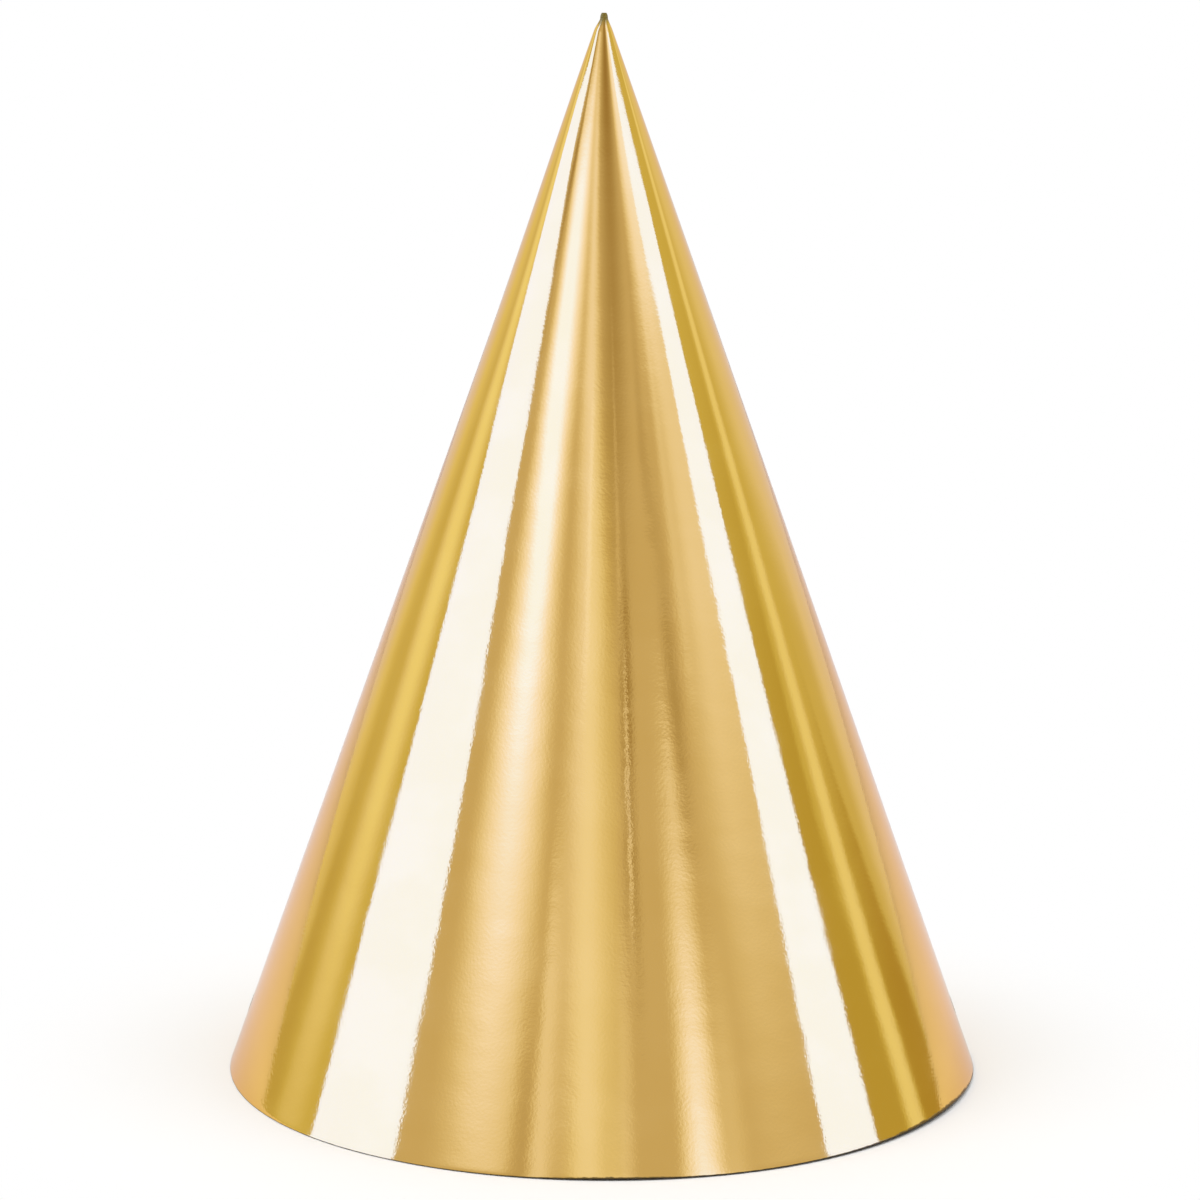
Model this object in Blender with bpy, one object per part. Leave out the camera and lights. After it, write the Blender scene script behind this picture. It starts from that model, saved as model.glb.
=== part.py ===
# New year party hat: a foil-faced paperboard blank, rolled once round into a cone and glued along a lapped seam.
# Metres, +Z up. The origin is the middle of the rim, on the surface that the hat stands on.
# The seam runs up the back, at +Y, so the front of the hat faces -Y.

import math

import bmesh
import bpy

# The finished hat
HEIGHT = 0.178
BASE_DIAMETER = 0.127
PINHOLE_DIAMETER = 0.00025  # what stays open where the sheet can be rolled no tighter
NIB_LENGTH = 0.001  # the straight roll at the very tip

# The sheet, from its bright side inwards
FILM_THICKNESS = 0.00003
BOARD_THICKNESS = 0.0004
GLUE_THICKNESS = 0.00008
LAYER_CLEARANCE = 0.00002

# The lapped seam
FLAP_WIDTH = 0.012  # at the rim: the flap narrows with the cone
FLAP_ABOVE_RIM = 0.002
FLAP_BELOW_TIP = 0.022
FLAP_SLANT = 0.006  # how far the flap's two ends are cut back at its free edge
GLUE_MARGIN = 0.002
SEAM_SLIT = 0.0001  # between the sheet's two edges at the tip, where there is no flap
DIP_ANGLE = math.radians(60)  # the last of the turn, in which the sheet sinks under its own lap

# The two punched holes for the ends of a chin elastic
HOLE_DIAMETER = 0.003
HOLE_HEIGHT = 0.010

# How finely the sheet is faceted
COLUMNS_AROUND = 112
COLUMNS_UNDER_LAP = 5
HOLE_FACETS = 24

FULL_TURN = 2 * math.pi
SEAM_DIRECTION = math.radians(90)
BASE_RADIUS = BASE_DIAMETER / 2

# A layer measures more along the radius than it does square to the cone's sloping face
RADIAL_SHARE = math.hypot(HEIGHT, BASE_RADIUS) / HEIGHT

# Depths below the outer face
BOARD_FACE = FILM_THICKNESS + LAYER_CLEARANCE
BOARD_BACK = BOARD_FACE + BOARD_THICKNESS
GLUE_FACE = BOARD_BACK + LAYER_CLEARANCE
GLUE_BACK = GLUE_FACE + GLUE_THICKNESS
FLAP_FACE = GLUE_BACK + LAYER_CLEARANCE

NIB_RADIUS = PINHOLE_DIAMETER / 2 + BOARD_BACK * RADIAL_SHARE
NIB_FOOT = HEIGHT - NIB_LENGTH
SLOPE = (BASE_RADIUS - NIB_RADIUS) / NIB_FOOT

FLAP_FOOT = FLAP_ABOVE_RIM
FLAP_HEAD = HEIGHT - FLAP_BELOW_TIP
FLAP_ANGLE = FLAP_WIDTH / BASE_RADIUS
GLUE_START = GLUE_MARGIN / BASE_RADIUS
GLUE_END = FLAP_ANGLE - GLUE_START


def clear_scene():
    for thing in list(bpy.data.objects):
        bpy.data.objects.remove(thing, do_unlink=True)


def finish(name, colour, metallic, roughness):
    material = bpy.data.materials.new(name)
    material.use_nodes = True
    shader = material.node_tree.nodes["Principled BSDF"]
    shader.inputs["Base Color"].default_value = (*colour, 1)
    shader.inputs["Metallic"].default_value = metallic
    shader.inputs["Roughness"].default_value = roughness
    return material


def even_steps(first, last, count):
    return [first + (last - first) * step / count for step in range(count + 1)]


def share_between(value, start, end):
    return min(max((value - start) / (end - start), 0), 1)


def face_radius(height):
    return max(BASE_RADIUS - SLOPE * height, NIB_RADIUS)


def sink(angle, height):
    # How deep the sheet lies under its own lap: it sinks at the end of the turn, and not at all at the tip.
    turn = share_between(angle, FULL_TURN - DIP_ANGLE, FULL_TURN)
    ease = turn * turn * (3 - 2 * turn)
    return FLAP_FACE * ease * share_between(height, NIB_FOOT, FLAP_HEAD)


def rolled_point(angle, height, depth):
    # The angle counts from the outer edge of the lap, and goes on past a full turn along the flap.
    radius = face_radius(height) - (depth + sink(angle, height)) * RADIAL_SHARE
    direction = SEAM_DIRECTION + angle
    return radius * math.cos(direction), radius * math.sin(direction), height


def lap_angles():
    return [0, *even_steps(GLUE_START, GLUE_END, COLUMNS_UNDER_LAP - 2), FLAP_ANGLE]


def sheet_heights():
    holes = [HOLE_HEIGHT - HOLE_DIAMETER, HOLE_HEIGHT + HOLE_DIAMETER]
    return sorted([0, FLAP_FOOT, *holes, FLAP_HEAD, NIB_FOOT, HEIGHT])


def sheet_columns():
    # One column of points for each line that runs straight up the blank: each maps a row to an angle and a height.
    heights = sheet_heights()
    turn = lap_angles() + even_steps(FLAP_ANGLE, FULL_TURN, COLUMNS_AROUND)[1:-1]
    columns = [{row: (angle, height) for row, height in enumerate(heights)} for angle in turn]

    slit = SEAM_SLIT / NIB_RADIUS
    columns.append({})
    for row, height in enumerate(heights):
        opening = slit * share_between(height, FLAP_HEAD, NIB_FOOT)
        columns[-1][row] = (FULL_TURN - opening, height)

    flap_rows = [row for row, height in enumerate(heights) if FLAP_FOOT <= height <= FLAP_HEAD]
    for angle in lap_angles()[1:]:
        cut = FLAP_SLANT * angle / FLAP_ANGLE
        columns.append({})
        for row in flap_rows:
            along = share_between(heights[row], FLAP_FOOT, FLAP_HEAD)
            height = FLAP_FOOT + cut + along * (FLAP_HEAD - FLAP_FOOT - 2 * cut)
            columns[-1][row] = (FULL_TURN + angle, height)
    return columns


def glue_columns():
    foot = FLAP_FOOT + FLAP_SLANT + GLUE_MARGIN
    head = FLAP_HEAD - FLAP_SLANT - GLUE_MARGIN
    return [{0: (angle, foot), 1: (angle, head)} for angle in lap_angles()[1:-1]]


def flat_blank(columns):
    flat = bmesh.new()
    lines = []
    for column in columns:
        lines.append({row: flat.verts.new((*place, 0)) for row, place in column.items()})
    for left, right in zip(lines, lines[1:]):
        rows = sorted(left.keys() & right.keys())
        for low, high in zip(rows, rows[1:]):
            flat.faces.new((left[low], left[high], right[high], right[low]))
    return flat


def rolled_sheet(name, columns, face, back, material):
    # Cuts the layer flat, gives it its thickness and rolls it up.
    layer = flat_blank(columns)
    front_points = list(layer.verts)
    grown = bmesh.ops.extrude_face_region(layer, geom=layer.faces[:], use_keep_orig=True)
    back_points = [item for item in grown["geom"] if isinstance(item, bmesh.types.BMVert)]
    for points, depth in ((front_points, face), (back_points, back)):
        for point in points:
            point.co = rolled_point(point.co.x, point.co.y, depth)
    bmesh.ops.recalc_face_normals(layer, faces=layer.faces[:])

    mesh = bpy.data.meshes.new(name)
    layer.to_mesh(mesh)
    layer.free()
    mesh.shade_smooth()
    mesh.set_sharp_from_angle(angle=math.radians(30))
    mesh.materials.append(material)
    sheet = bpy.data.objects.new(name, mesh)
    bpy.context.scene.collection.objects.link(sheet)
    return sheet


def hole_cutter():
    bpy.ops.mesh.primitive_cylinder_add(
        vertices=HOLE_FACETS,
        radius=HOLE_DIAMETER / 2,
        depth=BASE_DIAMETER,
        location=(0, 0, HOLE_HEIGHT),
        rotation=(0, math.radians(90), 0),
    )
    cutter = bpy.context.object
    cutter.name = "elastic_hole_cutter"
    cutter.hide_render = True
    cutter.display_type = "WIRE"
    return cutter


def punch(sheet, cutter):
    holes = sheet.modifiers.new("elastic_holes", "BOOLEAN")
    holes.operation = "DIFFERENCE"
    holes.solver = "EXACT"
    holes.object = cutter


def build_hat():
    clear_scene()
    gold = finish("gold_foil", (0.83, 0.60, 0.24), 1.0, 0.15)
    board = finish("white_board", (0.80, 0.78, 0.74), 0.0, 0.90)
    glue = finish("clear_glue", (0.86, 0.84, 0.76), 0.0, 0.40)

    columns = sheet_columns()
    film = rolled_sheet("foil_film", columns, 0, FILM_THICKNESS, gold)
    cone = rolled_sheet("cone_board", columns, BOARD_FACE, BOARD_BACK, board)
    rolled_sheet("seam_adhesive", glue_columns(), GLUE_FACE, GLUE_BACK, glue)

    cutter = hole_cutter()
    punch(film, cutter)
    punch(cone, cutter)


build_hat()
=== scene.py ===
import math

import bpy
import numpy as np
from mathutils import Matrix, Vector


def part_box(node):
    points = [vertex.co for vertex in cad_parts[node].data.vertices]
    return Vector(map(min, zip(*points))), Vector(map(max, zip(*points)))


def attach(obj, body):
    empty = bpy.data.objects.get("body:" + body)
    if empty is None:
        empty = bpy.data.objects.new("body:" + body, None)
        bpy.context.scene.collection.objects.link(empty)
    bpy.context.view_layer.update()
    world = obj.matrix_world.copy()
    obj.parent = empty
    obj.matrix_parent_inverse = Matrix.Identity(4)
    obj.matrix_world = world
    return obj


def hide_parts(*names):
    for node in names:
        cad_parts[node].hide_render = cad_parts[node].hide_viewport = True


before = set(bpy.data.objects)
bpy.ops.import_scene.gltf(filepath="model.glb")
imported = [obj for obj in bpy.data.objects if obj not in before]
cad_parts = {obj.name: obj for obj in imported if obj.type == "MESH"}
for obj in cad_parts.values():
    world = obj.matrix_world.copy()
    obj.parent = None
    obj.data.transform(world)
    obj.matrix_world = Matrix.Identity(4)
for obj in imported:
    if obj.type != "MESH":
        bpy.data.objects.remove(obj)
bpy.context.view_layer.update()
print("frame loaded:", ", ".join(sorted(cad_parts)))

# The hat's own sizes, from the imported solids, and the sheet's sizes as the solids have them (metres)
foilLow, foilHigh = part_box("foil_film")
glueLow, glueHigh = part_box("seam_adhesive")

hat = {
    "height": foilHigh.z,
    "baseRadius": (foilHigh.x - foilLow.x) / 2,
    "nibLength": 0.0010,
    "pinholeRadius": 0.000125,
    "filmThick": 0.00003,
    "boardThick": 0.00040,
    "glueThick": 0.00008,
    "layerGap": 0.00002,
    "flapWidth": 0.012,
    "flapFoot": 0.002,
    "flapBelowTip": 0.022,
    "flapSlant": 0.006,
    "tipSlit": 0.0001,
    "dipAngle": math.radians(60),  # the end of the turn sinks under the lap over this angle
    "holeRadius": 0.0015,
    "holeHeight": 0.010,
    "holeSides": 64,
}

fullTurn = 2 * math.pi
seamDirection = math.radians(90)
radialShare = math.hypot(hat["height"], hat["baseRadius"]) / hat["height"]
boardFace = hat["filmThick"] + hat["layerGap"]
boardBack = boardFace + hat["boardThick"]
glueFace = boardBack + hat["layerGap"]
glueBack = glueFace + hat["glueThick"]
flapFace = glueBack + hat["layerGap"]
nibRadius = hat["pinholeRadius"] + boardBack * radialShare
nibFoot = hat["height"] - hat["nibLength"]
slope = (hat["baseRadius"] - nibRadius) / nibFoot
apexHeight = hat["baseRadius"] / slope
halfAngle = math.atan(slope)
flapHead = hat["height"] - hat["flapBelowTip"]
flapAngle = hat["flapWidth"] / hat["baseRadius"]


def smooth(values):
    t = np.clip(values, 0, 1)
    return t * t * (3 - 2 * t)


def between(values, low, high):  # 0 up to low, 1 from high on
    return smooth((values - low) / (high - low))


# How the rolled card departs from a true cone. Front is 0 degrees and the viewer's right is +.
cardShape = {
    "waves": [  # lobes round the hat, waves up the hat, size in metres, start
        (5, 0.7, 0.000022, 0.4),
        (9, 1.1, 0.000012, 2.1),
        (14, 1.6, 0.000007, 4.4),
        (23, 2.3, 0.000003, 1.3),
    ],
    "waveTwist": 1.7,
    "wavesEnd": 0.05,  # they die away over this much below the tip
    "rimRoll": 0.00003,  # the cutting die turns the edge in
    "rimRollHeight": 0.0005,
    "rimLifts": [  # the rim lifts in the middle of the front and at the right: size, facing, spread
        (0.00018, math.radians(2), math.radians(10)),
        (0.00040, math.radians(66), math.radians(20)),
    ],
    "rimLiftReach": math.radians(105),  # and lies flat at the back
    "rimLiftEdge": math.radians(40),
    "rimLiftFades": 0.008,
    "tipFuller": 0.000275,  # the squeezed tip is a little fuller than the cone and leans to the left
    "tipLean": -0.000375,
    "tipFrom": 0.124,
    "tipTo": 0.176,
    "shoulderFrom": 0.1752,  # and it narrows again to the nib
    "shoulderTo": 0.1772,
    "shoulderFuller": 0.90,
    "shoulderLean": 0.30,
    "nibTaper": 0.40,
}


def cardWave(angle, height):
    up = height / hat["height"] * fullTurn
    total = np.zeros(np.broadcast(angle, height).shape)
    for lobes, rises, size, start in cardShape["waves"]:
        total += size * np.cos(lobes * angle + start) * np.cos(rises * up + cardShape["waveTwist"] * start)
    return total * smooth((hat["height"] - height) / cardShape["wavesEnd"])


def rimLift(facing):
    front = smooth((cardShape["rimLiftReach"] - np.abs(facing)) / cardShape["rimLiftEdge"])
    lifts = cardShape["rimLifts"]
    return front * sum(size * np.exp(-((facing - where) / spread) ** 2) for size, where, spread in lifts)


def sheetPoints(angle, height, depth):
    angle, height = np.broadcast_arrays(np.asarray(angle, float), np.asarray(height, float))
    facing = np.mod(angle, fullTurn) - math.pi
    height = height + rimLift(facing) * (1 - smooth(height / cardShape["rimLiftFades"]))
    dip = smooth((angle - (fullTurn - hat["dipAngle"])) / hat["dipAngle"])
    sink = flapFace * dip * np.clip((nibFoot - height) / (nibFoot - flapHead), 0, 1)
    face = np.maximum(hat["baseRadius"] - slope * height, nibRadius)
    roll = cardShape["rimRoll"] * (1 - np.clip(height / cardShape["rimRollHeight"], 0, 1)) ** 2
    tip = between(height, cardShape["tipFrom"], cardShape["tipTo"])
    shoulder = between(height, cardShape["shoulderFrom"], cardShape["shoulderTo"])
    fuller = cardShape["tipFuller"] * tip * (1 - cardShape["shoulderFuller"] * shoulder)
    lean = cardShape["tipLean"] * tip * (1 - cardShape["shoulderLean"] * shoulder)
    radius = face - roll + fuller + cardWave(angle, height) - (depth + sink) * radialShare
    radius *= 1 - cardShape["nibTaper"] * np.clip((height - nibFoot) / hat["nibLength"], 0, 1) ** 3
    around = seamDirection + angle
    return np.stack([radius * np.cos(around) + lean, radius * np.sin(around), height], -1)


def blankPoints(angle, height):  # the same spot on the flat sheet that the hat was cut from, in metres
    reach = (apexHeight - height) / math.cos(halfAngle)
    turn = (angle - math.pi) * math.sin(halfAngle)
    return np.stack([reach * np.sin(turn), reach * np.cos(turn)], -1)


# Steps of the mesh, and the heights of its closer rows at the rim, the shoulder and the nib
foilFine = {"around": 400, "underLap": 9, "up": 58}
boardFine = {"around": 240, "underLap": 6, "up": 44}
meshRows = {
    "rim": (0, 0.0001, 0.00025, 0.0005, 0.001),
    "shoulder": 0.1745,
    "belowShoulder": 13,
    "aboveShoulder": 9,
    "nibShares": (0.3, 0.6, 0.85, 1.0),
    "snap": 1e-9,  # rows this close to the flap's ends count as on it
}
sharpAngle = math.radians(28)


def lapAngles(fine):
    return np.linspace(0, flapAngle, fine["underLap"] + 1)


def sheetHeights(fine):
    body = np.linspace(hat["flapFoot"], flapHead, fine["up"])
    top = np.linspace(flapHead, meshRows["shoulder"], meshRows["belowShoulder"])[1:]
    shoulder = np.linspace(meshRows["shoulder"], nibFoot, meshRows["aboveShoulder"])[1:]
    nib = [nibFoot + hat["nibLength"] * share for share in meshRows["nibShares"]]
    return np.concatenate([meshRows["rim"], body, top, shoulder, nib])


def sheetGrid(fine):  # angle and height of every point of the blank's main part, row by row
    heights = sheetHeights(fine)
    turn = np.concatenate([lapAngles(fine), np.linspace(flapAngle, fullTurn, fine["around"])[1:]])
    angles = np.repeat(turn[None, :], len(heights), 0)
    slit = hat["tipSlit"] / nibRadius * np.clip((heights - flapHead) / (nibFoot - flapHead), 0, 1)
    angles[:, -1] -= slit
    return angles, np.repeat(heights[:, None], len(turn), 1)


def flapGrid(fine):  # the glue flap beyond the main part, with its slanted ends
    heights = sheetHeights(fine)
    foot = hat["flapFoot"]
    onFlap = (heights >= foot - meshRows["snap"]) & (heights <= flapHead + meshRows["snap"])
    rows = np.where(onFlap)[0]
    share = (heights[rows] - foot) / (flapHead - foot)
    cols = lapAngles(fine)[1:]
    cut = hat["flapSlant"] * cols / flapAngle
    high = foot + cut[None, :] + share[:, None] * (flapHead - foot - 2 * cut[None, :])
    return rows, np.repeat(fullTurn + cols[None, :], len(rows), 0), high


def gridQuads(index):
    return np.stack([index[:-1, :-1], index[:-1, 1:], index[1:, 1:], index[1:, :-1]], -1).reshape(-1, 4)


def closedSheet(name, angle, height, quads, face, back):
    # Points and quads of the blank become two faces at their depths, joined round every open edge
    count = len(angle)
    points = np.concatenate([sheetPoints(angle, height, face), sheetPoints(angle, height, back)])
    ends = np.concatenate([quads[:, [0, 1]], quads[:, [1, 2]], quads[:, [2, 3]], quads[:, [3, 0]]])
    once = {}
    for a, b in ends.tolist():
        if (b, a) in once:
            del once[(b, a)]
        else:
            once[(a, b)] = True
    walls = [(b, a, a + count, b + count) for a, b in once]
    faces = np.concatenate([quads, quads[:, ::-1] + count, np.array(walls)])

    mesh = bpy.data.meshes.new(name)
    mesh.from_pydata(points.tolist(), [], faces.tolist())
    flat = np.tile(blankPoints(angle, height), (2, 1))
    corner = np.empty(len(mesh.loops), np.int32)
    mesh.loops.foreach_get("vertex_index", corner)
    sheet = mesh.uv_layers.new(name="blank")
    sheet.uv.foreach_set("vector", flat[corner].astype(np.float32).ravel())
    mesh.validate()
    piece = bpy.data.objects.new(name, mesh)
    bpy.context.scene.collection.objects.link(piece)
    return piece


def blankSheet(name, face, back, fine):
    angles, heights = sheetGrid(fine)
    rows, flapAngles, flapHeights = flapGrid(fine)
    size = angles.size
    main = np.arange(size).reshape(angles.shape)
    flap = size + np.arange(flapAngles.size).reshape(flapAngles.shape)
    joined = np.concatenate([main[rows, -1:], flap], 1)
    quads = np.concatenate([gridQuads(main), gridQuads(joined)])
    angle = np.concatenate([angles.ravel(), flapAngles.ravel()])
    height = np.concatenate([heights.ravel(), flapHeights.ravel()])
    return closedSheet(name, angle, height, quads, face, back)


def punchHoles(piece):
    bpy.ops.mesh.primitive_cylinder_add(
        vertices=hat["holeSides"], radius=hat["holeRadius"], depth=hat["baseRadius"] * 2,
        location=(0, 0, hat["holeHeight"]), rotation=(0, math.radians(90), 0))
    cutter = bpy.context.object
    cut = piece.modifiers.new("elasticHoles", "BOOLEAN")
    cut.operation = "DIFFERENCE"
    cut.solver = "EXACT"
    cut.object = cutter
    graph = bpy.context.evaluated_depsgraph_get()
    done = bpy.data.meshes.new_from_object(piece.evaluated_get(graph))
    piece.modifiers.clear()
    piece.data = done
    bpy.data.objects.remove(cutter, do_unlink=True)


def finishMesh(piece, material):
    mesh = piece.data
    mesh.materials.clear()
    mesh.materials.append(material)
    mesh.shade_smooth()
    mesh.set_sharp_from_angle(angle=sharpAngle)


# Shader helpers
def addNode(tree, kind, **settings):
    node = tree.nodes.new(kind)
    for key, value in settings.items():
        setattr(node, key, value)
    return node


def setInputs(node, **values):
    for key, value in values.items():
        node.inputs[key.replace("_", " ")].default_value = value
    return node


def feed(tree, socket, value):  # a socket takes another node's output or a plain value
    if hasattr(value, "links"):
        tree.links.new(value, socket)
    else:
        socket.default_value = value


def newGroup(name, values, outputs):
    group = bpy.data.node_groups.new(name, "ShaderNodeTree")
    group.interface.new_socket("Point", in_out="INPUT", socket_type="NodeSocketVector")
    for label, value in values.items():
        socket = group.interface.new_socket(label, in_out="INPUT", socket_type="NodeSocketFloat")
        socket.default_value = value
    for label in outputs:
        group.interface.new_socket(label, in_out="OUTPUT", socket_type="NodeSocketFloat")
    return group, addNode(group, "NodeGroupInput"), addNode(group, "NodeGroupOutput")


def mathNode(tree, operation, a, b, clamp=False):
    node = addNode(tree, "ShaderNodeMath", operation=operation, use_clamp=clamp)
    feed(tree, node.inputs[0], a)
    feed(tree, node.inputs[1], b)
    return node.outputs[0]


def rampNode(tree, value, low, high):
    node = addNode(tree, "ShaderNodeMapRange", interpolation_type="SMOOTHSTEP")
    tree.links.new(value, node.inputs["Value"])
    node.inputs["From Min"].default_value = low
    node.inputs["From Max"].default_value = high
    return node.outputs["Result"]


def mixSocket(node, name):  # the colour sockets of a Mix node share their names with its number sockets
    for socket in node.inputs:
        rightKind = name == "Factor" or socket.type == "RGBA"
        if socket.name == name and rightKind and socket.enabled:
            return socket


def mixColours(tree, share, a, b, blend="MIX"):
    node = addNode(tree, "ShaderNodeMix", data_type="RGBA", blend_type=blend)
    for name, value in (("Factor", share), ("A", a), ("B", b)):
        feed(tree, mixSocket(node, name), value)
    return next(socket for socket in node.outputs if socket.type == "RGBA")


def bumpShader(tree, shader, height, distance, strength=1.0):
    bump = setInputs(addNode(tree, "ShaderNodeBump"), Strength=strength, Distance=distance)
    tree.links.new(height, bump.inputs["Height"])
    tree.links.new(bump.outputs["Normal"], shader.inputs["Normal"])


# Grain pressed into the sheet. Across and Along are its cells to a metre of the flat sheet
grainSet = {
    "usual": {"Across": 600.0, "Along": 2000.0, "Detail": 2.0},
    "roughness": 0.55,
    "mask": (0.42, 0.62),
}


def grainGroup():
    group, source, result = newGroup("sheetGrain", grainSet["usual"], ("Height", "Mask"))
    scale = addNode(group, "ShaderNodeCombineXYZ")
    group.links.new(source.outputs["Across"], scale.inputs["X"])
    group.links.new(source.outputs["Along"], scale.inputs["Y"])
    stretched = addNode(group, "ShaderNodeVectorMath", operation="MULTIPLY")
    group.links.new(source.outputs["Point"], stretched.inputs[0])
    group.links.new(scale.outputs["Vector"], stretched.inputs[1])
    noise = setInputs(addNode(group, "ShaderNodeTexNoise"), Scale=1.0, Roughness=grainSet["roughness"])
    group.links.new(stretched.outputs["Vector"], noise.inputs["Vector"])
    group.links.new(source.outputs["Detail"], noise.inputs["Detail"])
    group.links.new(noise.outputs["Fac"], result.inputs["Height"])
    group.links.new(rampNode(group, noise.outputs["Fac"], *grainSet["mask"]), result.inputs["Mask"])
    return group


# Scuffed edges, and on the gold foil's rim a band of painted shade as well. Rim and Tip are how far the
# mask reaches from the foot and from the tip, in metres
wearSet = {
    "usual": {"Height": 0.0, "Rim": 0.0006, "Tip": 0.0018, "Ragged": 1.0},
    "scale": 900.0,
    "detail": 3.0,
    "roughness": 0.6,
    "mask": (0.35, 0.75),
}
noReach = 0.00001  # for an edge that isn't worn


def wearGroup():
    group, source, result = newGroup("edgeWearAndRimShade", wearSet["usual"], ("Mask",))
    noise = setInputs(addNode(group, "ShaderNodeTexNoise"), Scale=wearSet["scale"],
                      Detail=wearSet["detail"], Roughness=wearSet["roughness"])
    group.links.new(source.outputs["Point"], noise.inputs["Vector"])
    low = mathNode(group, "DIVIDE", source.outputs["Height"], source.outputs["Rim"])
    rim = mathNode(group, "SUBTRACT", 1.0, low, clamp=True)
    below = mathNode(group, "SUBTRACT", hat["height"], source.outputs["Height"])
    high = mathNode(group, "DIVIDE", below, source.outputs["Tip"])
    tip = mathNode(group, "SUBTRACT", 1.0, high, clamp=True)
    near = mathNode(group, "MAXIMUM", rim, tip)
    centred = mathNode(group, "SUBTRACT", noise.outputs["Fac"], 0.5)
    uneven = mathNode(group, "MULTIPLY", centred, source.outputs["Ragged"])
    rough = mathNode(group, "ADD", near, uneven)
    group.links.new(rampNode(group, rough, *wearSet["mask"]), result.inputs["Mask"])
    return group


grain = grainGroup()
wear = wearGroup()


def placeGroup(tree, group, point, values, height=None):
    node = addNode(tree, "ShaderNodeGroup", node_tree=group)
    for key, value in values.items():
        node.inputs[key].default_value = value
    tree.links.new(point, node.inputs["Point"])
    if height is not None:
        tree.links.new(height, node.inputs["Height"])
    return node


def newMaterial(name):
    material = bpy.data.materials.new(name)
    material.use_nodes = True
    tree = material.node_tree
    return material, tree, tree.nodes["Principled BSDF"]


farFromSeam = 0.1  # further in is all the same, and the wear would take it for the tip


def inFromSeam(tree, blank):  # distance on the flat sheet from the seam's outer cut edge
    start = -math.pi * math.sin(halfAngle)
    across = addNode(tree, "ShaderNodeVectorMath", operation="DOT_PRODUCT")
    tree.links.new(blank, across.inputs[0])
    across.inputs[1].default_value = (math.cos(start), -math.sin(start), 0)
    return mathNode(tree, "MINIMUM", across.outputs["Value"], farFromSeam)


def heightOnSheet(tree, blank):  # height of a spot on the hat, from its place on the flat sheet
    reach = addNode(tree, "ShaderNodeVectorMath", operation="LENGTH")
    tree.links.new(blank, reach.inputs[0])
    drop = mathNode(tree, "MULTIPLY", reach.outputs["Value"], math.cos(halfAngle))
    return mathNode(tree, "SUBTRACT", apexHeight, drop)


def sheetPlaces(tree):  # flat-sheet place, height on the hat and place in space
    blank = addNode(tree, "ShaderNodeUVMap", uv_map="blank").outputs["UV"]
    place = addNode(tree, "ShaderNodeTexCoord").outputs["Object"]
    return blank, heightOnSheet(tree, blank), place


goldLook = {
    "gold": (0.960, 0.602, 0.128, 1),
    "goldDeep": (0.945, 0.588, 0.120, 1),
    "edgeTint": (1.0, 0.84, 0.86, 1),
    # dark brown foot band: partly scuffing, partly painted shade of the dark line under the rim
    "rimScuffAndShadeColour": (0.17, 0.105, 0.020, 1),
    "scuffedTip": (0.27, 0.185, 0.020, 1),
    "cutEdge": (0.80, 0.76, 0.66, 1),
    "roughness": (0.05, 0.075),
    "coat": 0.15,
    "coatRoughness": 0.04,
    "fineGrain": {"Across": 2000.0, "Along": 1800.0, "Detail": 1.2},
    "slowGrain": {"Across": 150.0, "Along": 190.0, "Detail": 1.0},
    "clouds": {"Across": 40.0, "Along": 60.0, "Detail": 3.0},
    "grainDepth": 0.000006,
    "slowWaves": 3.5,
    "grainVaries": (0.85, 1.15),
    "calmTip": 0.62,  # the grain is fainter near the tip
    "calmHeights": (0.080, 0.150),
    "seamWear": {"Rim": 0.0005, "Tip": noReach, "Ragged": 0.9},
    "rimScuffAndShadeValues": {"Tip": noReach},
    "rimScuffAndShadeLeast": 0.00012,
    "rimShadeForLift": 2.0,  # painted shade: the dark rim band is widest where the rim is lifted and its shadow gap shows
    "tipWear": {"Rim": noReach, "Tip": 0.0036, "Ragged": 0.35},
    "wornRoughness": 0.45,
}


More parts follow.
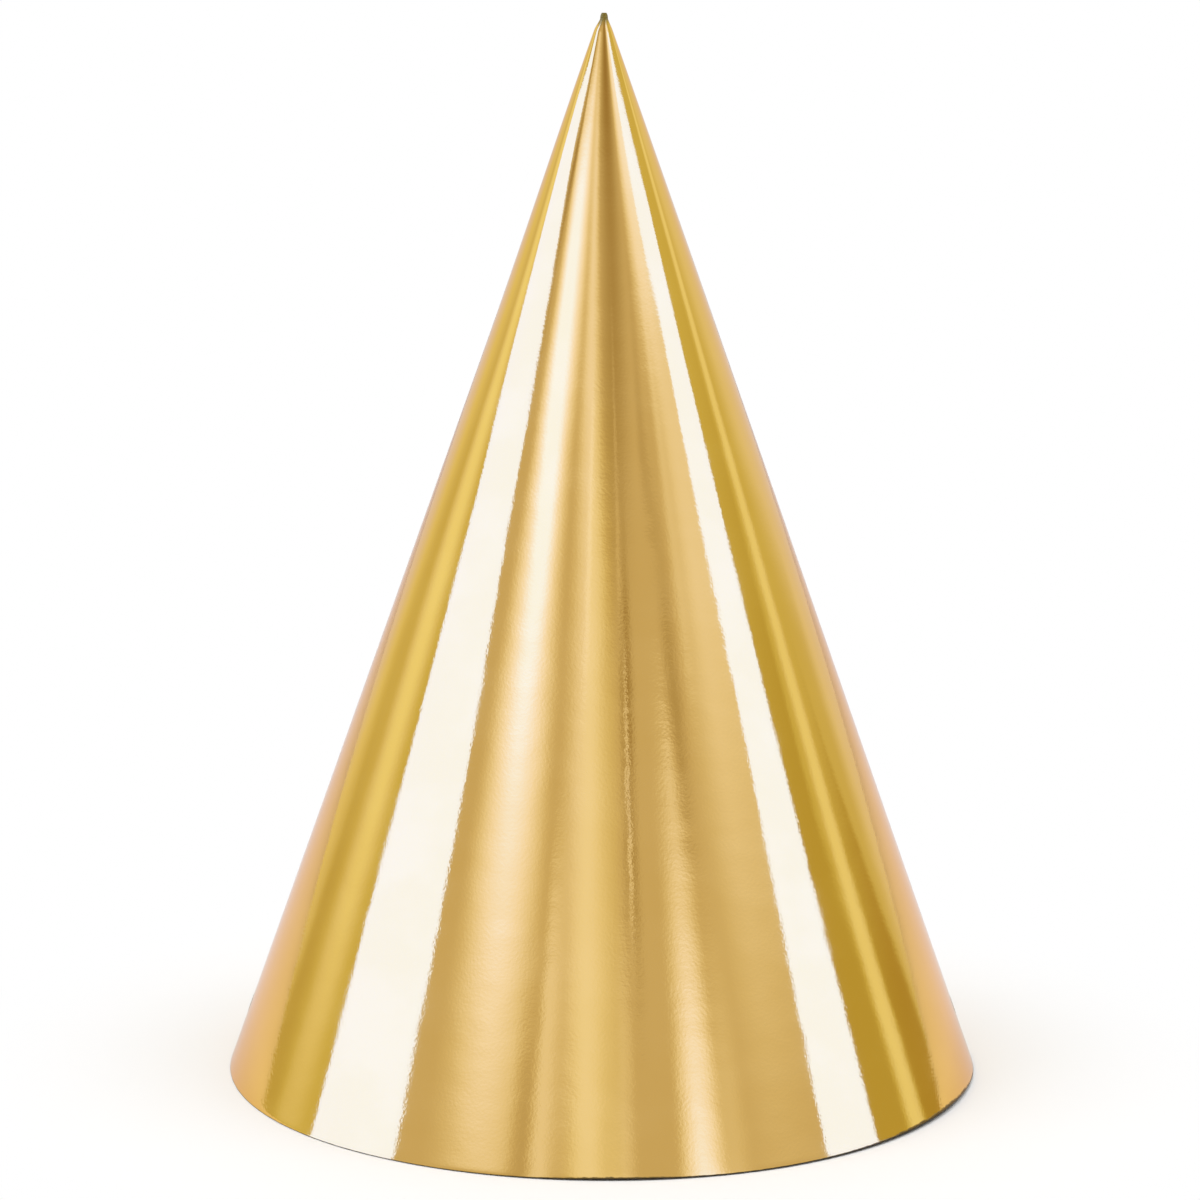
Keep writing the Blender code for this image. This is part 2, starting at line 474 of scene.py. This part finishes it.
def goldMaterial():
    material, tree, shader = newMaterial("goldFoil")
    blank, height, place = sheetPlaces(tree)
    fine, slow, cloud = (placeGroup(tree, grain, blank, goldLook[name])
                         for name in ("fineGrain", "slowGrain", "clouds"))
    wornSeam = placeGroup(tree, wear, place, goldLook["seamWear"], inFromSeam(tree, blank))
    # the foot band's mask: partly scuffing, partly painted shade, widened where the rim lifts off the
    # floor
    rimScuffAndShade = placeGroup(tree, wear, place, goldLook["rimScuffAndShadeValues"], height)
    wornTip = placeGroup(tree, wear, place, goldLook["tipWear"], height)
    split = addNode(tree, "ShaderNodeSeparateXYZ")
    tree.links.new(place, split.inputs["Vector"])
    lifted = mathNode(tree, "SUBTRACT", split.outputs["Z"], height)
    wide = mathNode(tree, "MULTIPLY", lifted, goldLook["rimShadeForLift"])
    tree.links.new(mathNode(tree, "ADD", wide, goldLook["rimScuffAndShadeLeast"]), rimScuffAndShade.inputs["Rim"])
    worn = mathNode(tree, "MAXIMUM", rimScuffAndShade.outputs["Mask"], wornTip.outputs["Mask"])
    worn = mathNode(tree, "MAXIMUM", worn, wornSeam.outputs["Mask"])

    tone = mixColours(tree, cloud.outputs["Mask"], goldLook["goldDeep"], goldLook["gold"])
    # the foot band darkens the foil's colour with painted shade as well as scuffing
    for edge, scuffed in ((wornSeam, "cutEdge"), (rimScuffAndShade, "rimScuffAndShadeColour"), (wornTip, "scuffedTip")):
        tone = mixColours(tree, edge.outputs["Mask"], tone, goldLook[scuffed])
    tree.links.new(tone, shader.inputs["Base Color"])

    low, high = goldLook["roughness"]
    dull = mathNode(tree, "MULTIPLY", cloud.outputs["Mask"], high - low)
    rough = mathNode(tree, "ADD", dull, low)
    wornRough = mathNode(tree, "MULTIPLY", worn, goldLook["wornRoughness"])
    tree.links.new(mathNode(tree, "MAXIMUM", rough, wornRough), shader.inputs["Roughness"])
    setInputs(shader, Metallic=1.0, Specular_Tint=goldLook["edgeTint"],
              Coat_Weight=goldLook["coat"], Coat_Roughness=goldLook["coatRoughness"])

    waves = mathNode(tree, "MULTIPLY", slow.outputs["Height"], goldLook["slowWaves"])
    heights = mathNode(tree, "ADD", fine.outputs["Height"], waves)
    nearTip = rampNode(tree, height, *goldLook["calmHeights"])
    calm = mathNode(tree, "MULTIPLY", nearTip, goldLook["calmTip"])
    least, most = goldLook["grainVaries"]
    handled = mathNode(tree, "ADD", mathNode(tree, "MULTIPLY", cloud.outputs["Mask"], most - least), least)
    depth = mathNode(tree, "MULTIPLY", handled, mathNode(tree, "SUBTRACT", 1.0, calm))
    bumpShader(tree, shader, mathNode(tree, "MULTIPLY", heights, depth), goldLook["grainDepth"])
    return material


boardLook = {
    "white": (0.80, 0.78, 0.74, 1),
    "grey": (0.66, 0.63, 0.58, 1),
    "scuffed": (0.50, 0.45, 0.38, 1),
    "roughness": 0.9,
    "fibres": {"Across": 500.0, "Along": 2600.0, "Detail": 5.0},
    "fibreShare": 0.35,
    "clouds": {"Across": 70.0, "Along": 90.0, "Detail": 4.0},
    "cloudShare": 0.30,
    "wear": {"Rim": 0.0012, "Tip": 0.004},
    "fibreDepth": 0.00006,
    "fibreBump": 0.6,
}


def boardMaterial():
    material, tree, shader = newMaterial("whiteBoard")
    blank, height, place = sheetPlaces(tree)
    fibres = placeGroup(tree, grain, blank, boardLook["fibres"])
    cloud = placeGroup(tree, grain, blank, boardLook["clouds"])
    worn = placeGroup(tree, wear, place, boardLook["wear"], height)
    streaks = mathNode(tree, "MULTIPLY", fibres.outputs["Mask"], boardLook["fibreShare"])
    spots = mathNode(tree, "MULTIPLY", cloud.outputs["Mask"], boardLook["cloudShare"])
    tone = mixColours(tree, mathNode(tree, "ADD", streaks, spots), boardLook["white"], boardLook["grey"])
    tone = mixColours(tree, worn.outputs["Mask"], tone, boardLook["scuffed"])
    tree.links.new(tone, shader.inputs["Base Color"])
    setInputs(shader, Roughness=boardLook["roughness"])
    bumpShader(tree, shader, fibres.outputs["Height"], boardLook["fibreDepth"], boardLook["fibreBump"])
    return material


glueLook = {
    "clear": (0.86, 0.84, 0.76, 1),
    "yellowed": (0.74, 0.66, 0.48, 1),
    "roughness": (0.25, 0.5),
    "ripples": {"Across": 400.0, "Along": 250.0, "Detail": 3.0},
    "rippleDepth": 0.00003,
    "rippleBump": 0.5,
}


def glueMaterial():
    material, tree, shader = newMaterial("clearGlue")
    blank = addNode(tree, "ShaderNodeUVMap", uv_map="blank").outputs["UV"]
    ripple = placeGroup(tree, grain, blank, glueLook["ripples"])
    tone = mixColours(tree, ripple.outputs["Mask"], glueLook["clear"], glueLook["yellowed"])
    tree.links.new(tone, shader.inputs["Base Color"])
    low, high = glueLook["roughness"]
    spread = mathNode(tree, "MULTIPLY", ripple.outputs["Mask"], high - low)
    tree.links.new(mathNode(tree, "ADD", spread, low), shader.inputs["Roughness"])
    bumpShader(tree, shader, ripple.outputs["Height"], glueLook["rippleDepth"], glueLook["rippleBump"])
    return material


def makeFoil():
    piece = blankSheet("goldFoil", 0, hat["filmThick"], foilFine)
    punchHoles(piece)
    finishMesh(piece, goldMaterial())
    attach(piece, "root")
    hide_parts("foil_film")


def makeBoard():
    piece = blankSheet("coneBoard", boardFace, boardBack, boardFine)
    punchHoles(piece)
    finishMesh(piece, boardMaterial())
    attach(piece, "root")
    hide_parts("cone_board")


glueShape = {
    "margin": 0.002,
    "waver": 0.0006,
    "startWaves": ((310, 0), (97, 1)),  # radians to a metre and start of the two waves in each edge
    "endWaves": ((270, 2), (131, 0)),
    "columns": 8,
    "rows": 160,
}


def glueWaver(high, waves):
    (first, firstStart), (second, secondStart) = waves
    size = glueShape["waver"] / hat["baseRadius"]
    return size * np.sin(high * first + firstStart) * np.sin(high * second + secondStart)


def makeGlue():
    margin = glueShape["margin"] / hat["baseRadius"]
    high = np.linspace(glueLow.z, glueHigh.z, glueShape["rows"])[:, None]
    share = np.linspace(0, 1, glueShape["columns"])[None, :]
    start = margin + glueWaver(high, glueShape["startWaves"])
    end = flapAngle - margin + glueWaver(high, glueShape["endWaves"])
    angle = start + share * (end - start)
    height = np.repeat(high, glueShape["columns"], 1)
    index = np.arange(angle.size).reshape(angle.shape)
    piece = closedSheet("seamGlue", angle.ravel(), height.ravel(), gridQuads(index), glueFace, glueBack)
    finishMesh(piece, glueMaterial())
    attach(piece, "root")
    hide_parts("seam_adhesive")


makeFoil()
print("gold foil rolled")
makeBoard()
print("board rolled")
makeGlue()
print("glue laid")


# Camera, as the photograph was taken (image taken as 1200 x 1200)
cameraSet = {
    "distance": 0.7242,
    "pitch": math.radians(11.21),
    "lens": 129.52,
    "sensor": 36.0,
    "clip": (0.01, 100),
    "aimHeight": 0.08021,
    "aimSide": -0.00059,
    "roll": math.radians(0.205),
}


def makeCamera():
    data = bpy.data.cameras.new("camera")
    data.lens = cameraSet["lens"]
    data.sensor_width = cameraSet["sensor"]
    data.sensor_fit = "HORIZONTAL"
    data.clip_start, data.clip_end = cameraSet["clip"]
    camera = bpy.data.objects.new("camera", data)
    bpy.context.scene.collection.objects.link(camera)
    pitch = cameraSet["pitch"]
    back = Vector((0, -math.cos(pitch), math.sin(pitch)))
    aim = Vector((cameraSet["aimSide"], 0, cameraSet["aimHeight"]))
    turn = (-back).to_track_quat("-Z", "Y").to_matrix().to_4x4()
    place = Matrix.Translation(aim + back * cameraSet["distance"])
    camera.matrix_world = place @ turn @ Matrix.Rotation(cameraSet["roll"], 4, "Z")
    bpy.context.scene.camera = camera


# Floor: white paper that keeps the hat's shadow near by and fades into the white background
floorSet = {
    "size": 12.0,
    "albedo": 0.80,
    "albedoSeen": 0.98,
    "drop": 0.00022,  # a hair below the rim, and most at the right, so that a thin dark line shows there
    "tilt": math.radians(0.15),
    "fadeFrom": 0.060,
    "fadeTo": 0.115,
}


def mixShaders(tree, share, a, b):
    node = addNode(tree, "ShaderNodeMixShader")
    for slot, source in enumerate((share, a, b)):
        tree.links.new(source, node.inputs[slot])
    return node.outputs["Shader"]


def makeFloor():
    bpy.ops.mesh.primitive_plane_add(size=floorSet["size"], location=(0, 0, -floorSet["drop"]))
    floor = bpy.context.object
    floor.name = "floor"
    floor.rotation_euler = (0, floorSet["tilt"], 0)
    material, tree, shader = newMaterial("whitePaper")
    setInputs(shader, Roughness=1.0, Specular_IOR_Level=0.0)
    path = addNode(tree, "ShaderNodeLightPath")
    plain, seen = ((floorSet[name],) * 3 + (1,) for name in ("albedo", "albedoSeen"))
    paper = mixColours(tree, path.outputs["Is Camera Ray"], plain, seen)
    tree.links.new(paper, shader.inputs["Base Color"])
    place = addNode(tree, "ShaderNodeTexCoord")
    reach = addNode(tree, "ShaderNodeVectorMath", operation="LENGTH")
    tree.links.new(place.outputs["Object"], reach.inputs[0])
    fade = rampNode(tree, reach.outputs["Value"], floorSet["fadeFrom"], floorSet["fadeTo"])
    fade = mathNode(tree, "MULTIPLY", fade, path.outputs["Is Camera Ray"])
    glow = setInputs(addNode(tree, "ShaderNodeEmission"), Color=(1, 1, 1, 1), Strength=1.0)
    mix = mixShaders(tree, fade, shader.outputs["BSDF"], glow.outputs["Emission"])
    tree.links.new(mix, tree.nodes["Material Output"].inputs["Surface"])
    floor.data.materials.append(material)


# World: white to look at and in the foil, while the light itself comes from above
worldSet = {"fill": 0.95, "fillFrom": 0.30, "fillTo": 0.85}


def makeWorld():
    world = bpy.data.worlds.new("studio")
    bpy.context.scene.world = world
    world.use_nodes = True
    tree = world.node_tree
    tree.nodes.clear()
    path = addNode(tree, "ShaderNodeLightPath")
    seen = mathNode(tree, "MAXIMUM", path.outputs["Is Camera Ray"], path.outputs["Is Glossy Ray"])
    seen = mathNode(tree, "MAXIMUM", seen, path.outputs["Is Transmission Ray"])
    place = addNode(tree, "ShaderNodeTexCoord")
    split = addNode(tree, "ShaderNodeSeparateXYZ")
    tree.links.new(place.outputs["Generated"], split.inputs["Vector"])
    above = rampNode(tree, split.outputs["Z"], worldSet["fillFrom"], worldSet["fillTo"])
    fill = setInputs(addNode(tree, "ShaderNodeBackground"), Color=(1, 1, 1, 1))
    tree.links.new(mathNode(tree, "MULTIPLY", above, worldSet["fill"]), fill.inputs["Strength"])
    white = setInputs(addNode(tree, "ShaderNodeBackground"), Color=(1, 1, 1, 1), Strength=1.0)
    mix = mixShaders(tree, seen, fill.outputs["Background"], white.outputs["Background"])
    out = addNode(tree, "ShaderNodeOutputWorld")
    tree.links.new(mix, out.inputs["Surface"])


# Lamps give the plain light on floor and card
lampSet = [  # name, place, size, watts
    ("keyLeft", (-0.9, -0.3, 1.7), 1.0, 7.5),
    ("fillRight", (0.9, -0.2, 1.6), 1.0, 5.5),
    ("topSoft", (0.0, 0.2, 1.9), 1.4, 5.0),
]


def makeLamps():
    for name, place, size, watts in lampSet:
        data = bpy.data.lights.new(name, "AREA")
        data.size = size
        data.energy = watts
        lamp = bpy.data.objects.new(name, data)
        bpy.context.scene.collection.objects.link(lamp)
        lamp.location = place
        lamp.rotation_euler = (-Vector(place)).to_track_quat("-Z", "Y").to_euler()
        lamp.visible_camera = False
        lamp.visible_glossy = False


# The foil is a mirror, so it shows the studio round it: two curved walls with soft patches of light,
# and two sharp boxes. Azimuths and elevations are in degrees. Azimuth 0 is the camera's side and + is
# to the right
ring = {
    "radius": 1.7,
    "boxRadius": 1.6,
    "eye": 0.08,  # elevations are seen from this height on the hat's axis
    "head": 60,
    "step": 0.5,
    "brightest": 6.5,
    "yellow": (1, 1, 0.6, 1),
}
leastWidth = 0.001


def edgeAt(edge, rise):  # an edge is one azimuth, or its azimuths by elevation
    if isinstance(edge, dict):
        return np.interp(rise, list(edge), list(edge.values()))
    return np.full(np.shape(rise), float(edge))


# A patch adds to its wall's level between its edges. Soft is the share of its width that each edge
# takes to fade, and foot and head are the elevations between which it starts and ends
def patch(left, right, add, soft=(0.5, 0.5), foot=(-30, -20), head=(70, 80)):
    return {"left": left, "right": right, "add": add, "soft": soft, "foot": foot, "head": head}


def patchLevel(spot, around, rise):
    left = edgeAt(spot["left"], rise)
    right = edgeAt(spot["right"], rise)
    width = np.maximum(right - left, leastWidth)
    softLeft, softRight = spot["soft"]
    sides = smooth((around - left) / width / softLeft) * smooth((right - around) / width / softRight)
    started = between(rise, *spot["foot"])
    ended = between(rise, *spot["head"])
    return spot["add"] * sides * started * (1 - ended)


frontWall = {
    "name": "frontWall",
    "left": {5: -78, 24: -87, 30: -104},
    "right": {5: 80, 24: 77, 30: 67},
    "levels": [  # level, light
        (-0.40, (0.33, 0.26, 0.19)),
        (-0.27, (0.41, 0.36, 0.34)),
        (-0.17, (0.48, 0.45, 0.49)),
        (-0.08, (0.55, 0.53, 0.64)),
        (0.00, (0.61, 0.60, 0.76)),
        (0.10, (0.70, 0.72, 1.02)),
        (0.25, (0.83, 0.90, 1.58)),
        (0.50, (0.96, 1.11, 2.60)),
        (0.70, (1.00, 1.25, 3.65)),
        (1.00, (1.02, 1.52, 5.90)),
    ],
    "patches": {
        "upperSoft": patch({5: -53, 22: -61, 25: -63, 27: -67, 29: -72, 30.5: -70, 32: -63, 34: -56},
                           {5: -18.5, 29: -22, 38: -15}, 1.12, foot=(8, 29), head=(29, 39)),
        "centreGlow": patch({5: -9, 29: -25, 38: -34},
                            {5: 20, 18: 11, 28: 8, 32: 1, 33: -3, 36: -8}, 0.40, head=(34, 37)),
        "centreLine": patch(-12.5, -7.5, 0.15, foot=(25, 27), head=(30, 32)),
        "upperEdge": patch(-45, -29, 0.13, foot=(24, 27), head=(29, 31)),
        "lowLine": patch(-22.8, -12.5, 0.27, soft=(0.35, 0.6), head=(20, 24)),
        "lowDark": patch(-30, -21.5, -0.13, soft=(0.6, 0.3), head=(17.5, 20)),
        "lowShade": patch(-14, -6, -0.07, head=(17.5, 20)),
        "lowShadeRight": patch(-3, 5.5, -0.08, head=(17.5, 21)),
        "lowGlow": patch(5, 11, 0.09, soft=(0.3, 0.4), head=(20, 22)),
        "darkCentre": patch({24: -7, 38: -14}, {28: 25, 34: 36}, -0.25, foot=(25, 33)),
        "midShade": patch(-8, 6, -0.06, head=(26, 28)),
        "darkStreak": patch(10.5, 16.5, -0.12, foot=(19, 22), head=(27, 30)),
        "darkTop": patch(-22, {33: 28, 36: 44}, -0.14, soft=(0.3, 0.3), foot=(33, 36.5)),
        "lowPatch": patch(21.5, 38.5, 0.84, head=(14, 26)),
        "patchTop": patch(26, 37, 0.15, foot=(22.3, 23), head=(23.4, 24.2)),
        "patchTail": patch(30, 47, 0.13, soft=(0.3, 0.4), head=(16, 21)),
        "patchShade": patch(30.5, 43.5, -0.20, foot=(20.5, 23.5), head=(24.5, 26.5)),
        "shadeAbove": patch({26: 36, 28: 28, 29: 26}, {26: 44, 28: 39, 29: 37}, -0.12,
                            foot=(25, 27.5), head=(28, 34)),
        "rightRidge": patch(42, 51, 0.10, foot=(22, 24), head=(28, 31)),
        "rightHaze": patch(40, 95, 0.31, soft=(0.35, 0.1), foot=(8, 25), head=(29, 34)),
        "rightRise": patch({24: 59, 30: 35, 33: 29, 36: 27}, 110, 0.62, soft=(0.2, 0.05), foot=(26, 33)),
        "gapShade": patch({25: -69, 26.3: -77, 30: -69}, {25: -60, 26.3: -68, 30: -60}, -0.36,
                          foot=(25, 27)),
        "thinShade": patch(7.3, 14, -0.23, soft=(0.6, 0.2), foot=(19.5, 23.5), head=(26.3, 27.3)),
        "thinDark": patch(6.5, 18.5, -0.13, foot=(24.2, 25.2), head=(26.6, 28)),
        "thinLine": patch(10.2, 12.9, 0.70, foot=(20, 23.8), head=(25.8, 27)),
        "thinAbove": patch(7.4, 11, 0.15, foot=(26.6, 28), head=(31, 33)),
    },
    "yellow": {
        "centre": patch(-14, 10, 0.34, soft=(0.3, 0.3), head=(29, 33)),
    },
}

sideWall = {
    "name": "sideWall",
    "left": {5: 80, 24: 77, 30: 67},
    "right": {5: 282, 24: 273, 30: 256},
    "levels": [
        (-0.40, (0.43, 0.36, 0.12)),
        (-0.20, (0.51, 0.48, 0.22)),
        (0.00, (0.63, 0.64, 0.40)),
        (0.25, (0.77, 0.82, 0.82)),
        (0.50, (0.89, 1.00, 1.08)),
        (0.80, (1.00, 1.30, 3.60)),
    ],
    "patches": {
        "rightDark": patch(60, {4: 106, 10: 101, 16: 104}, -0.22, soft=(0.05, 0.10), head=(9, 24)),
        "rightGold": patch({5: 101, 24: 104}, {5: 113, 24: 116}, 0.40, soft=(0.4, 0.4)),
        "rightDeep": patch(110, {-2: 127, 5: 120, 24: 111}, -0.37, soft=(0.2, 0.2), head=(0, 9)),
        "back": patch({-2: 122, 4: 126, 10: 116, 18: 107}, {-2: 237, 3: 233, 8: 236, 12: 240}, 0.25,
                      soft=(0.12, 0.12)),
        "backGlow": patch({18: 136, 36: 128}, {18: 160, 36: 168}, 0.55, foot=(15, 26)),
        "backShade": patch(158, 200, -0.30, foot=(15, 22)),
        "backSoft": patch({18: 188, 36: 184}, {18: 222, 36: 230}, 0.42, foot=(15, 30)),
        "leftDeep": patch(230, 250, -0.14, soft=(0.3, 0.3), head=(-1, 5)),
        "leftGlow": patch({5: 238, 12: 234, 24: 230}, {5: 263, 24: 257.5}, 0.50,
                          soft=(0.45, 0.45), foot=(-4, 10)),
    },
    "yellow": {
        "left": patch(212, 236, 0.80, head=(11, 14)),
    },
}

boxLight = (1.015, 1.53, 6.25)
boxes = [
    {
        "name": "leftBox",
        "left": {5: -95, 16: -100, 19: -110, 21: -108, 25: -95},
        "right": {5: -63, 15: -63.6, 20: -64.6, 25: -69.5, 26.3: -79, 30: -71},
    },
    {
        "name": "rightBox",
        "left": {5: 70, 19: 70, 26.5: 66, 30: 58, 36: 46},
        "right": {5: 89.5, 20: 87, 25: 85, 28: 79.5, 32: 65, 36: 48},
    },
]


def lightColour(light):  # the lights go over 1, so they are set as shares of the brightest
    return (*(part / ring["brightest"] for part in light), 1)


def glowMaterial(name):
    material = bpy.data.materials.new(name)
    material.use_nodes = True
    material.cycles.emission_sampling = "NONE"
    tree = material.node_tree
    tree.nodes.clear()
    glow = setInputs(addNode(tree, "ShaderNodeEmission"), Strength=ring["brightest"])
    out = addNode(tree, "ShaderNodeOutputMaterial")
    tree.links.new(glow.outputs["Emission"], out.inputs["Surface"])
    return material, tree, glow


def wallMaterial(wall):
    material, tree, glow = glowMaterial(wall["name"])
    levels = wall["levels"]
    lowest, highest = levels[0][0], levels[-1][0]
    level = addNode(tree, "ShaderNodeAttribute", attribute_name="level")
    share = addNode(tree, "ShaderNodeMapRange")
    tree.links.new(level.outputs["Fac"], share.inputs["Value"])
    setInputs(share, From_Min=lowest, From_Max=highest)
    ramp = addNode(tree, "ShaderNodeValToRGB")
    stops = ramp.color_ramp.elements
    for place, _ in levels[1:-1]:
        stops.new((place - lowest) / (highest - lowest))
    for stop, (_, light) in zip(stops, levels):
        stop.color = lightColour(light)
    tree.links.new(share.outputs["Result"], ramp.inputs["Fac"])
    yellow = addNode(tree, "ShaderNodeAttribute", attribute_name="yellow")
    tint = mixColours(tree, yellow.outputs["Fac"], ramp.outputs["Color"], ring["yellow"], "MULTIPLY")
    tree.links.new(tint, glow.inputs["Color"])
    return material


def boxMaterial(box):
    material, _, glow = glowMaterial(box["name"])
    setInputs(glow, Color=lightColour(boxLight))
    return material


def ringCard(card, radius, material):  # a curved card from the floor up, between its two edges
    foot = math.degrees(math.atan2(-ring["eye"], radius))
    rise = np.linspace(foot, ring["head"], round((ring["head"] - foot) / ring["step"]) + 1)
    left = edgeAt(card["left"], rise)
    right = edgeAt(card["right"], rise)
    share = np.linspace(0, 1, round(np.max(right - left) / ring["step"]) + 1)
    around = left[:, None] + share[None, :] * (right - left)[:, None]
    rise = np.repeat(rise[:, None], len(share), 1)
    turn = np.radians(around)
    high = ring["eye"] + radius * np.tan(np.radians(rise))
    points = np.stack([radius * np.sin(turn), -radius * np.cos(turn), high], -1)
    index = np.arange(turn.size).reshape(turn.shape)
    mesh = bpy.data.meshes.new(card["name"])
    mesh.from_pydata(points.reshape(-1, 3).tolist(), [], gridQuads(index).tolist())
    for name, spots in (("level", card.get("patches")), ("yellow", card.get("yellow"))):
        if spots:
            amount = sum(patchLevel(spot, around, rise) for spot in spots.values())
            painted = mesh.attributes.new(name, "FLOAT", "POINT")
            painted.data.foreach_set("value", amount.astype(np.float32).ravel())
    mesh.materials.append(material)
    stand = bpy.data.objects.new(card["name"], mesh)
    bpy.context.scene.collection.objects.link(stand)
    stand.visible_camera = False
    stand.visible_diffuse = False
    stand.visible_shadow = False


makeCamera()
makeFloor()
makeWorld()
makeLamps()
for wall in (frontWall, sideWall):
    ringCard(wall, ring["radius"], wallMaterial(wall))
for box in boxes:
    ringCard(box, ring["boxRadius"], boxMaterial(box))
print("studio set:", len(lampSet), "lamps,", len(boxes), "boxes and two walls")

bpy.context.scene.view_settings.view_transform = "Standard"
